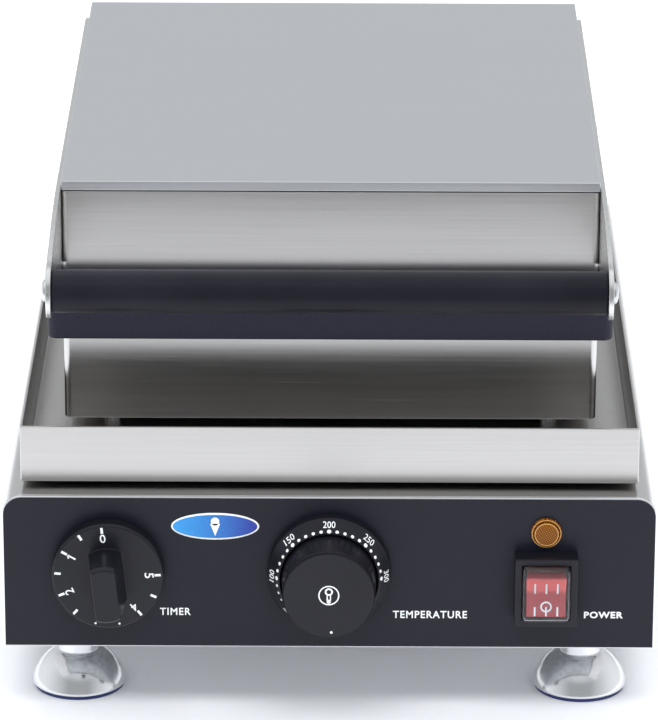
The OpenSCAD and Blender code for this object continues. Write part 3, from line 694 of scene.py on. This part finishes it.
def handle():
    low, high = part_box("handle_grip")
    radius, bore = (high.z - low.z) / 2, 5.03 * MM
    axis = facing((1, 0, 0), (low.x, (low.y + high.y) / 2, (low.z + high.z) / 2))
    length = high.x - low.x
    edge = [(bore, 0), (radius, 0), (radius, length), (bore, length)]
    bm = bmesh.new()
    lathe(bm, rounded([(bore, length / 2)] + edge + [(bore, length / 2)], 1.2 * MM, 5), axis, 96)
    bmesh.ops.remove_doubles(bm, verts=bm.verts, dist=WELD)
    even(add_piece("grip", bm, "black_grip", body_of("handle_grip"), ("handle_grip",)))


def cross_screw(head_r, head_h, shank_r, shank, nut=0.0):
    """Round-headed screw with a cross recess; its head stands on Z = 0 and its shank goes down."""
    bm = bmesh.new()
    dome = [(head_r * math.cos(math.radians(a)), head_h * (0.3 + 0.7 * math.sin(math.radians(a))))
            for a in range(0, 91, 10)]
    tail = [(0, -shank), (shank_r * 0.8, -shank), (shank_r, -shank + 0.4 * MM), (shank_r, 0)]
    if nut:
        tail = [(0, -shank), (head_r, -shank), (head_r, nut - shank), (shank_r, nut - shank), (shank_r, 0)]
    lathe(bm, tail + [(head_r, 0)] + dome[:-1] + [(0, head_h)], Matrix.Identity(4), 40)
    a, b = head_r * 0.55, head_r * 0.14
    cross = [(b, b), (b, a), (-b, a), (-b, b), (-a, b), (-a, -b),
             (-b, -b), (-b, -a), (b, -a), (b, -b), (a, -b), (a, b)]
    cutter = bmesh.new()
    loft(cutter, [[(px, py, z) for px, py in cross] for z in (head_h * 0.45, head_h * 1.5)],
         cap_start=True, cap_end=True)
    return carve(bm, cutter)


def screws(node, name, head_h, shank_r, nut=0.0):
    """Cross-recessed screws in place of a CAD node's plain ones, heads away from the object's middle."""
    bm = bmesh.new()
    for low, high in islands(node):
        size, centre = high - low, (low + high) / 2
        along = max(range(3), key=lambda i: size[i])
        across = (along + 1) % 3
        side = 1 if centre[along] > MIDDLE[along] else -1
        direction = Vector((0, 0, 0))
        direction[along] = side
        seat = centre.copy()
        seat[along] = (high if side > 0 else low)[along] - side * head_h
        screw = cross_screw(size[across] / 2, head_h, shank_r, size[along] - head_h, nut)
        screw.transform(facing(direction, seat))
        mesh = bpy.data.meshes.new("screw")
        screw.to_mesh(mesh)
        screw.free()
        bm.from_mesh(mesh)
        bpy.data.meshes.remove(mesh)
    add_piece(name, bm, slot_of(node), body_of(node), (node,), crease=28)


# ---------- timer ----------

def timer():
    refine("timer_knob", 0.45 * MM)
    low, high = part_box("timer_knob")
    x, z = (low.x + high.x) / 2, (low.z + high.z) / 2
    disc_out, sunk = 7.8 * MM, 0.02 * MM
    minute, zero = 53.3, -6.0
    face = on_panel(x, z, disc_out - sunk)
    bm = bmesh.new()
    for half in range(11):
        spoke = face @ turned(zero - half * minute / 2)
        # These two get only a small white dot each, near their marks' outer ends, and no mark or figure
        if half in (6, 7):
            # The bar covers all but the ends of these two
            disc(bm, spoke @ Matrix.Translation((0, 20.6 * MM, 0)), 0.45 * MM, PRINT)
            continue
        slab(bm, spoke @ Matrix.Translation((0, 19.9 * MM, 0)), 1.0 * MM, 2.5 * MM, PRINT)
        digit = spoke @ Matrix.Translation((0, 16.5 * MM, 0))
        if half == 2:
            slab(bm, digit, 0.7 * MM, 3.6 * MM, PRINT)
            flag = digit @ Matrix.Translation((-0.55 * MM, 1.3 * MM, 0)) @ turned(45)
            slab(bm, flag, 0.55 * MM, 1.6 * MM, PRINT)
        elif half % 2 == 0:
            write(bm, str(half // 2), digit, 2.3 * MM, 3.6 * MM, PRINT, 0.01)
    add_piece("timer_marks", bm, "black_plastic", body_of("timer_knob"), material=INK)


# ---------- thermostat ----------

def thermostat():
    refine("dial_ring", 0.3 * MM)
    refine("thermostat_knob", 0.5 * MM)
    low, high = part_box("dial_ring")
    x, z = (low.x + high.x) / 2, (low.z + high.z) / 2
    scale_marks(x, z)
    knob_marks(x, z)


def on_cone(x, z, angle, along):
    """A placement on the ring's sloping face; along runs from 0 at its outer edge to 1 at its inner one."""
    outer, inner = Vector((24.0 * MM, 5.9 * MM)), Vector((20.4 * MM, 10.4 * MM))
    radius, out = outer.lerp(inner, along)
    slope = math.atan2(inner.y - outer.y, outer.x - inner.x)
    spot = on_panel(x, z) @ turned(angle) @ Matrix.Translation((0, radius, out))
    return spot @ Matrix.Rotation(-slope, 4, "X")


def scale_marks(x, z):
    """Temperatures from 100 to 300 round the ring, a dot for every ten degrees, and the off position."""
    step, first = 8.8, -88
    bm = bmesh.new()
    for k in range(21):
        large = k % 5 == 0
        spot = on_cone(x, z, first + k * step, 0.9)
        disc(bm, spot, (0.85 if large else 0.68) * MM, PRINT)
        if large:
            figure = on_cone(x, z, first + k * step, 0.36)
            write(bm, str(100 + 10 * k), figure, 4.9 * MM, 3.0 * MM, PRINT, 0.004)
    for k in range(1, 5):
        disc(bm, on_cone(x, z, first - k * step, 0.9), (0.66 - 0.06 * k) * MM, PRINT)
    write(bm, "OFF", on_cone(x, z, first - 4.7 * step, 0.55), 3.0 * MM, 1.7 * MM, PRINT)
    add_piece("scale_marks", bm, "black_plastic", body_of("dial_ring"), material=INK)


def knob_marks(x, z):
    """A ring with a thermometer in it, and the pointer's dot."""
    knob_out, sunk = 25.5 * MM, 0.02 * MM
    face = on_panel(x, z, knob_out - sunk)
    bm = bmesh.new()
    hoop(bm, face, 4.15 * MM, 3.65 * MM, PRINT)
    hoop(bm, face @ Matrix.Translation((0, 1.5 * MM, 0)), 1.6 * MM, 0.95 * MM, PRINT, 32)
    for side in (-1, 1):
        slab(bm, face @ Matrix.Translation((side * 0.65 * MM, -1.3 * MM, 0)), 0.45 * MM, 2.9 * MM, PRINT)
    disc(bm, face @ Matrix.Translation((0, -2.6 * MM, 0)), 0.87 * MM, PRINT)
    disc(bm, face @ Matrix.Translation((1.0 * MM, -15.8 * MM, 0)), 0.55 * MM, PRINT)
    add_piece("knob_marks", bm, "black_plastic", body_of("thermostat_knob"), material=INK)


# ---------- switch and lamp ----------

def rocker():
    """The rocker, and its printed marks on the two halves of its face."""
    refine("switch_rocker", 0.5 * MM)
    low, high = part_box("switch_rocker")
    tilt, deep = math.radians(7), 11.3 * MM
    swing = Matrix.Translation(((low.x + high.x) / 2, PANEL_Y + 2 * MM, middle_of("switch_bezel").z))
    swing = swing @ Matrix.Rotation(tilt, 4, "X")
    bm = bmesh.new()
    for side in (1, -1):
        # Each half of the face rises from the middle to its end
        slope = math.atan2(1.3, 8.9) * side
        half = swing @ Matrix.Translation((0, -deep, 0)) @ Matrix.Rotation(slope, 4, "X")
        half = half @ Matrix.Rotation(math.radians(90), 4, "X")
        length, along = (4.8, 3.9) if side > 0 else (3.9, -6.4)
        for across in (-4.5, 0, 4.5):
            spot = half @ Matrix.Translation((across * MM, along * MM, 0))
            slab(bm, spot, 0.7 * MM, length * MM, 0.25 * MM)
        if side < 0:
            hoop(bm, half @ Matrix.Translation((0, -4.4 * MM, 0)), 2.3 * MM, 1.65 * MM, 0.25 * MM)
    add_piece("rocker_marks", bm, "red_rocker", body_of("switch_rocker"), material=INK)


def outline(width, height, radius, steps=5):
    """Points round a rectangle with rounded corners, about the origin."""
    out = []
    for quarter, (sx, sz) in enumerate(((1, 1), (-1, 1), (-1, -1), (1, -1))):
        for k in range(steps + 1):
            t = math.pi / 2 * (quarter + k / steps)
            out.append((sx * (width / 2 - radius) + radius * math.cos(t),
                        sz * (height / 2 - radius) + radius * math.sin(t)))
    return out


def clear_cap():
    """Soft clear cover: thin rounded walls, and a front skin that sags over the rocker's lower half."""
    low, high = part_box("switch_cap")
    centre = (low + high) / 2
    width, height, depth, wall = high.x - low.x, high.z - low.z, high.y - low.y, 0.55 * MM

    def ring(inset, out, sink=0.0):
        shape = outline(width - 2 * inset, height - 2 * inset, max(1.9 * MM - inset, 0.5 * MM))
        share = max(0.0, 1 - 2 * inset / width)
        points = []
        for px, pz in shape:
            wave = sink * math.sin(math.pi * pz / height) * math.cos(math.pi * px / width)
            points.append((centre.x + px, high.y - out + wave * (1 - share), centre.z + pz))
        return points

    skin = [0.25, 0.5, 0.75, 0.93]
    outer = [ring(0, t * depth) for t in (0, 0.45, 0.9)]
    outer += [ring(0.25 * MM, depth - 0.35 * MM), ring(0.9 * MM, depth)]
    outer += [ring(t * width / 2, depth, 0.9 * MM) for t in skin]
    inner = [ring(t * width / 2, depth - wall, 0.9 * MM) for t in reversed(skin)]
    inner += [ring(1.1 * MM, depth - wall), ring(wall, depth - 1.1 * MM), ring(wall, 0)]
    bm = bmesh.new()
    loft(bm, outer, cap_end=True)
    loft(bm, inner, cap_start=True)
    loft(bm, [outer[0], inner[-1]])
    bmesh.ops.remove_doubles(bm, verts=bm.verts, dist=WELD)
    add_piece("clear_cap", bm, "clear_cap", body_of("switch_cap"), ("switch_cap",), crease=50)


def lamp():
    """Amber lens: a rounded rim, a groove and a raised face, with thin rings of lighter amber on both edges,
    a painted highlight standing for the glints on its rims.
    """
    low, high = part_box("lamp_lens")
    x, z = (low.x + high.x) / 2, (low.z + high.z) / 2
    front = on_panel(x, z)
    rim = (high.x - low.x) / 2
    out = PANEL_Y - low.y
    stem = high.y - PANEL_Y
    bm = bmesh.new()
    profile = [(0, -stem), (4.7 * MM, -stem), (4.7 * MM, 0), (rim, 0), (rim, 1.5 * MM), (5.5 * MM, 1.9 * MM),
               (5.2 * MM, 1.2 * MM), (4.75 * MM, 1.2 * MM), (4.6 * MM, out - 0.3 * MM), (0, out - 0.25 * MM)]
    lathe(bm, rounded(profile, 0.3 * MM, 3), front, 72)
    add_piece("lamp_face", bm, "amber_lens", body_of("lamp_lens"), ("lamp_lens",))
    # Thin rings of lighter amber on both edges: painted highlight
    bm = bmesh.new()
    hoop(bm, front @ Matrix.Translation((0, 0, 1.5 * MM)), 5.85 * MM, 5.55 * MM, 0.4 * MM, 72)
    hoop(bm, front @ Matrix.Translation((0, 0, out - 0.5 * MM)), 4.75 * MM, 4.4 * MM, 0.35 * MM, 72)
    add_piece("lamp_glint_rings", bm, "amber_lens", body_of("lamp_lens"), material=AMBER_PAINTED_GLINT)


def controls():
    timer()
    thermostat()
    refine("switch_bezel", 0.5 * MM)
    rocker()
    clear_cap()
    lamp()


# ---------- badge and labels ----------

def oval(bm, place, width, height, depth):
    steps = 72
    loops = [[place @ Vector((w / 2 * math.cos(t), h / 2 * math.sin(t), d))
              for t in [2 * math.pi * k / steps for k in range(steps)]]
             for w, h, d in ((width, height, 0), (width, height, depth * 0.6),
                             (width - 0.5 * MM, height - 0.5 * MM, depth))]
    loft(bm, loops, cap_start=True, cap_end=True)


def badge():
    """Plain oval badge: a pale rim round blue enamel, with a small cone on it."""
    start, end = badge_span()
    centre = on_panel((start + end) / 2, PANEL_Z[1] - 12.5 * MM)
    width, height = end - start, 11.4 * MM
    bm = bmesh.new()
    oval(bm, centre, width, height, 0.35 * MM)
    add_piece("badge_rim", bm, "bright_steel", "base", material=INK)
    bm = bmesh.new()
    oval(bm, centre, width - 1.3 * MM, height - 1.3 * MM, 0.5 * MM)
    add_piece("badge_face", bm, "bright_steel", "base", material=badge_enamel())
    bm = bmesh.new()
    cone = [(-2.0, 1.2), (2.0, 1.2), (0, -4.0)]
    loops = [[centre @ Vector((px * MM, pz * MM, d * MM)) for px, pz in cone] for d in (0.4, 0.56)]
    loft(bm, loops, cap_start=True, cap_end=True)
    disc(bm, centre @ Matrix.Translation((0, 2.2 * MM, 0.4 * MM)), 1.7 * MM, 0.16 * MM)
    add_piece("badge_cone", bm, "bright_steel", "base", material=INK)


def labels():
    """The functions' plain names, printed to the lower right of each control."""
    bm = bmesh.new()
    spots = (("TIMER", middle_of("timer_shaft").x + 26.5 * MM, 15.4, 12.3, 3.1, 0.018),
             ("TEMPERATURE", middle_of("dial_ring").x + 40.3 * MM, 14.5, 29.6, 3.2, 0.018),
             ("POWER", middle_of("switch_bezel").x + 23.4 * MM, 14.6, 15.6, 2.9, 0.034))
    for words, x, up, width, height, bold in spots:
        write(bm, words, on_panel(x, PANEL_Z[0] + up * MM), width * MM, height * MM, PRINT, bold, 1.14)
    add_piece("function_labels", bm, "black_panel", "base", material=INK)


# ---------- feet ----------

def feet():
    for end in ("front_left", "front_right", "rear_left", "rear_right"):
        foot(end)


def foot(end):
    """Polished bell with a turned collar and a threaded stud, on its blue pad."""
    node, pad = "foot_" + end, "pad_" + end
    low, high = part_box(node)
    place = Matrix.Translation(((low.x + high.x) / 2, (low.y + high.y) / 2, 0))
    rim_r, pad_t = (high.x - low.x) / 2, low.z
    shoulder, neck, stud = pad_t + 13.6 * MM, 7.8 * MM, 4 * MM
    collar_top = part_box("bottom_plate")[0].z - 0.3 * MM
    bell = [(rim_r - 0.5 * MM, pad_t), (rim_r, pad_t + 0.4 * MM), (rim_r, pad_t + 1.1 * MM),
            (rim_r - 0.8 * MM, pad_t + 3.6 * MM), (rim_r - 2.4 * MM, pad_t + 6.6 * MM),
            (rim_r - 5.2 * MM, shoulder - 3.2 * MM), (neck + 2.6 * MM, shoulder - 0.3 * MM),
            (neck + 0.3 * MM, shoulder + 0.35 * MM), (neck, shoulder + 1.1 * MM)]
    collar = [(neck, collar_top - 0.6 * MM), (neck - 0.6 * MM, collar_top), (stud, collar_top)]
    thread = []
    thread_pitch = 1.25 * MM
    turns = int((high.z - collar_top) / thread_pitch)
    for k in range(turns):
        z = collar_top + thread_pitch * (k + 0.3)
        thread += [(stud - 0.45 * MM, z), (stud, z + 0.6 * MM)]
    tip = [(stud * 0.8, high.z), (0, high.z)]
    profile = [(0, pad_t)] + rounded(bell, 2.2 * MM, 5) + collar + thread + tip
    bm = bmesh.new()
    lathe(bm, profile, place, 72)
    even(add_piece("levelling_" + node, bm, "foot_chrome", body_of(node), (node,), crease=40))
    low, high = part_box(pad)
    radius = (high.x - low.x) / 2
    edge = rounded([(0, 0), (radius - 0.6 * MM, 0), (radius - 0.3 * MM, high.z), (0, high.z)], 0.5 * MM)
    bm = bmesh.new()
    lathe(bm, edge, place, 64)
    add_piece("rubber_" + pad, bm, "blue_rubber", body_of(pad), (pad,))


# ---------- conduit ----------

def bezier(a, b, c, d, count):
    out = []
    for k in range(count + 1):
        t = k / count
        s = 1 - t
        out.append(a * s ** 3 + b * 3 * s * s * t + c * 3 * s * t * t + d * t ** 3)
    return out


def conduit():
    """Corrugated steel hose from the lid's gland down to the base's; it rides on no body, so it stays where
    it is when the lid opens.
    """
    lid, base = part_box("lid_gland"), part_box("base_gland")
    x = (lid[0].x + lid[1].x) / 2
    a = Vector((x, lid[1].y, (lid[0].z + lid[1].z) / 2))
    b = Vector((x, (base[0].y + base[1].y) / 2, base[1].z))
    back, up = Vector((0, MM, 0)), Vector((0, 0, MM))
    route = bezier(a, a + back * 36, b + up * 57, b, 240)
    radius, ridge, pitch, steps = 5.4 * MM, 0.55 * MM, 2.6 * MM, 28
    travelled = 0.0
    loops = []
    for k, point in enumerate(route):
        if k:
            travelled += (point - route[k - 1]).length
        ahead = (route[min(k + 1, len(route) - 1)] - route[max(k - 1, 0)]).normalized()
        side = Vector((1, 0, 0))
        across = ahead.cross(side)
        r = radius + ridge * math.cos(2 * math.pi * travelled / pitch)
        loops.append([point + side * r * math.cos(t) + across * r * math.sin(t)
                      for t in [2 * math.pi * n / steps for n in range(steps)]])
    bm = bmesh.new()
    loft(bm, loops, cap_start=True, cap_end=True)
    hose = link("heater_conduit", finish_mesh("heater_conduit", bm, 60), SLOTS["braided_steel"])
    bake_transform(hose)
    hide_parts("conduit")


# ---------- carried-over CAD nodes ----------

def carried_over():
    """Gives every CAD node that is still shown its slot's material."""
    for name, node in frame["nodes"].items():
        if node.hide_render:
            continue
        material = SLOTS[slot_of(name)]
        node.data.materials.clear()
        node.data.materials.append(material)


# ---------- studio ----------

def studio_floor():
    bm = bmesh.new()
    bmesh.ops.create_grid(bm, x_segments=2, y_segments=2, size=3)
    floor = link("studio_floor", finish_mesh("studio_floor", bm), pale_floor())


def soft_light(name, place, aim, size, power):
    """A soft box that lights matt surfaces but isn't mirrored in the steel."""
    lamp_data = bpy.data.lights.new(name, "AREA")
    lamp_data.shape = "RECTANGLE"
    lamp_data.size, lamp_data.size_y = size
    lamp_data.energy = power
    light = bpy.data.objects.new(name, lamp_data)
    light.location = place
    light.rotation_euler = (Vector(aim) - Vector(place)).to_track_quat("-Z", "Y").to_euler()
    light.visible_glossy = False
    bpy.context.scene.collection.objects.link(light)


def studio_world():
    """A pale surround, brightest overhead and dimmest in front of the object."""
    world = bpy.data.worlds.new("studio")
    bpy.context.scene.world = world
    world.use_nodes = True
    tree = world.node_tree
    where = tree.nodes.new("ShaderNodeTexCoord")
    split = tree.nodes.new("ShaderNodeSeparateXYZ")
    tree.links.new(where.outputs["Generated"], split.inputs["Vector"])

    def part(output, start, end, low, high):
        level = tree.nodes.new("ShaderNodeMapRange")
        for key, value in (("From Min", start), ("From Max", end), ("To Min", low), ("To Max", high)):
            level.inputs[key].default_value = value
        tree.links.new(output, level.inputs["Value"])
        return level.outputs["Result"]

    def math_node(operation, *inputs):
        made = tree.nodes.new("ShaderNodeMath")
        made.operation = operation
        for output, socket in zip(inputs, made.inputs):
            tree.links.new(output, socket)
        return made.outputs["Value"]

    along = part(split.outputs["Y"], -0.5, 0.7, 0.42, 0.68)
    sides = part(math_node("ABSOLUTE", split.outputs["X"]), 0.4, 1.0, 0, 0.42)
    overhead = part(split.outputs["Z"], 0.6, 0.85, 0, 0.57)
    background = tree.nodes["Background"]
    background.inputs["Color"].default_value = (0.95, 0.975, 1.0, 1)
    total = math_node("ADD", math_node("ADD", along, sides), overhead)
    tree.links.new(total, background.inputs["Strength"])


def studio_lights():
    soft_light("top", (0.0, 0.85, 1.45), (0, 0.0, 0.05), (1.8, 0.5), 16)
    soft_light("front_top", (0.0, -1.0, 1.5), (0, -0.15, 0.0), (1.6, 0.5), 19)
    soft_light("front", (0.0, -1.5, 0.45), (0, -0.1, 0.0), (2.0, 0.5), 5)
    bpy.context.scene.view_settings.view_transform = "Standard"


def camera():
    """Slightly above and in front, with a long lens."""
    lens = bpy.data.cameras.new("camera")
    lens.lens = 249.7
    lens.sensor_width = 36
    lens.clip_end = 20
    made = bpy.data.objects.new("camera", lens)
    turn = (Matrix.Rotation(math.radians(0.233), 4, "Z") @ Matrix.Rotation(math.radians(90 - 20.579), 4, "X")
            @ Matrix.Rotation(math.radians(0.149), 4, "Z"))
    made.matrix_world = Matrix.Translation((0.00717, -2.01024, 0.84086)) @ turn
    bpy.context.scene.collection.objects.link(made)
    bpy.context.scene.camera = made


camera()
sheet_metal()
baking_plates()
handle()
screws("handle_screws", "grip_screws", 2.3 * MM, 2 * MM)
screws("lid_screws", "lid_fixings", 1.8 * MM, 2 * MM, nut=3 * MM)
screws("case_screws", "case_fixings", 1.8 * MM, 1.9 * MM)
controls()
badge()
labels()
feet()
conduit()
carried_over()
studio_floor()
studio_world()
studio_lights()
